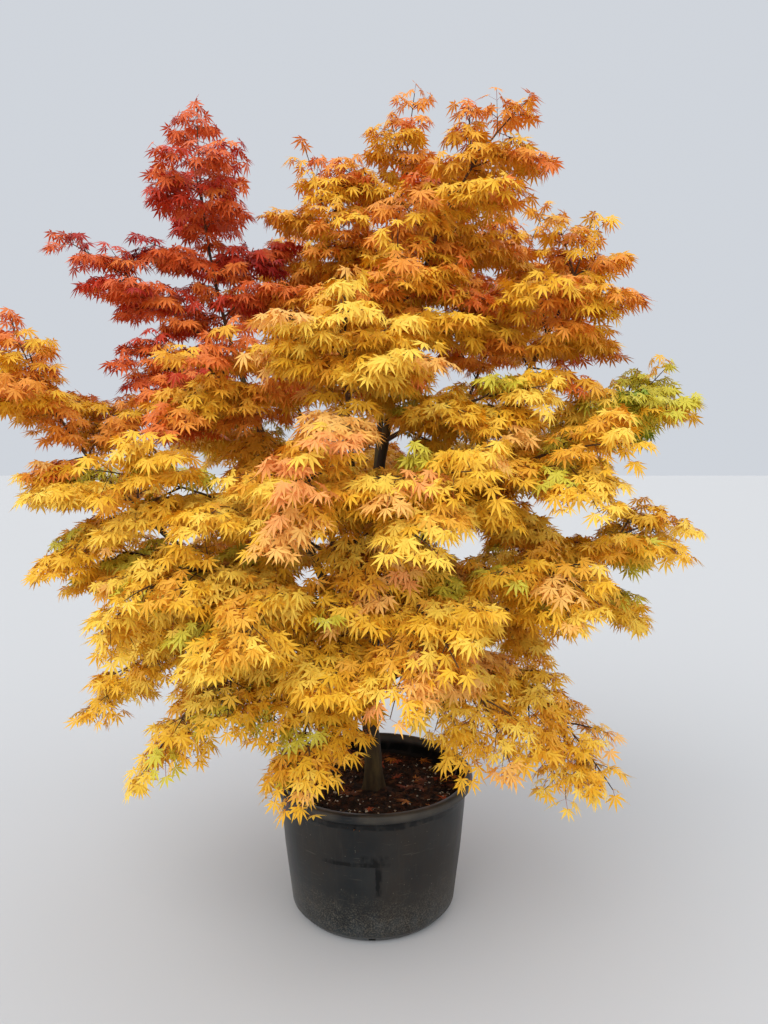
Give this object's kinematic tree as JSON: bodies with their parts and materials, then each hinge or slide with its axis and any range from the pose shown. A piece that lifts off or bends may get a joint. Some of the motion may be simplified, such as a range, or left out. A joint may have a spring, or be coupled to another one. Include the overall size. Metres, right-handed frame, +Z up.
{
  "type": "japanese maple tree in a nursery pot",
  "caption": "Multi-stemmed japanese maple in autumn leaf, with arching boughs and layered sprays of foliage over a round nursery pot.",
  "frame": {"origin": "middle of the pot's flat underside", "axes": "+Z up along the trunk, the front of the crown towards -Y, +X to the right of it"},
  "size_m": [2.2621, 1.7443, 2.6694],
  "materials": {
    "pot_plastic": "dusty moulded plastic",
    "potting_mix": "loose bark chips",
    "bark": "smooth bark",
    "leaf_gold": "matt leaf",
    "leaf_peach": "matt leaf",
    "leaf_amber": "matt leaf",
    "leaf_orange": "matt leaf",
    "leaf_red": "matt leaf",
    "leaf_crimson": "matt leaf",
    "leaf_lime": "matt leaf"
  },
  "bodies": {
    "root": {"pot": "pot_plastic", "potting_mix": "potting_mix", "trunk": "bark", "stem_centre": "bark", "stem_left": "bark", "stem_right": "bark", "stem_back": "bark", "stem_front": "bark", "stem_far_left": "bark", "stem_back_right": "bark", "stem_back_left": "bark", "bough_low_left": "bark", "bough_front_left": "bark", "bough_front": "bark", "bough_front_right": "bark", "bough_right": "bark", "bough_far_right": "bark", "bough_back_right": "bark", "bough_back_left": "bark", "foliage_skirt_left": "leaf_gold", "foliage_skirt_front_left": "leaf_gold", "foliage_skirt_front": "leaf_gold", "foliage_skirt_front_right": "leaf_gold", "foliage_skirt_right": "leaf_gold", "foliage_skirt_back_right": "leaf_gold", "foliage_skirt_back": "leaf_amber", "foliage_skirt_back_left": "leaf_gold", "foliage_low_left": "leaf_gold", "foliage_low_front_left": "leaf_gold", "foliage_low_front": "leaf_gold", "foliage_low_front_right": "leaf_peach", "foliage_low_right_front": "leaf_gold", "foliage_low_right": "leaf_gold", "foliage_low_back_right": "leaf_gold", "foliage_low_back": "leaf_amber", "foliage_low_back_left": "leaf_amber", "foliage_low_left_back": "leaf_gold", "foliage_far_left": "leaf_orange", "foliage_mid_left": "leaf_gold", "foliage_mid_front_left": "leaf_gold", "foliage_mid_front": "leaf_peach", "foliage_mid_front_right": "leaf_gold", "foliage_mid_right_front": "leaf_gold", "foliage_far_right": "leaf_lime", "foliage_mid_back_right": "leaf_gold", "foliage_mid_back": "leaf_amber", "foliage_mid_back_left": "leaf_gold", "foliage_red_arm": "leaf_crimson", "foliage_red_shoulder": "leaf_red", "foliage_high_front_left": "leaf_orange", "foliage_high_front": "leaf_peach", "foliage_high_front_right": "leaf_gold", "foliage_right_shoulder": "leaf_orange", "foliage_high_back_right": "leaf_orange", "foliage_high_back_left": "leaf_orange", "foliage_spire_left": "leaf_crimson", "foliage_peak_left": "leaf_orange", "foliage_peak_centre": "leaf_orange", "foliage_peak_right": "leaf_orange", "foliage_peak_front": "leaf_orange"}
  },
  "joints": []
}
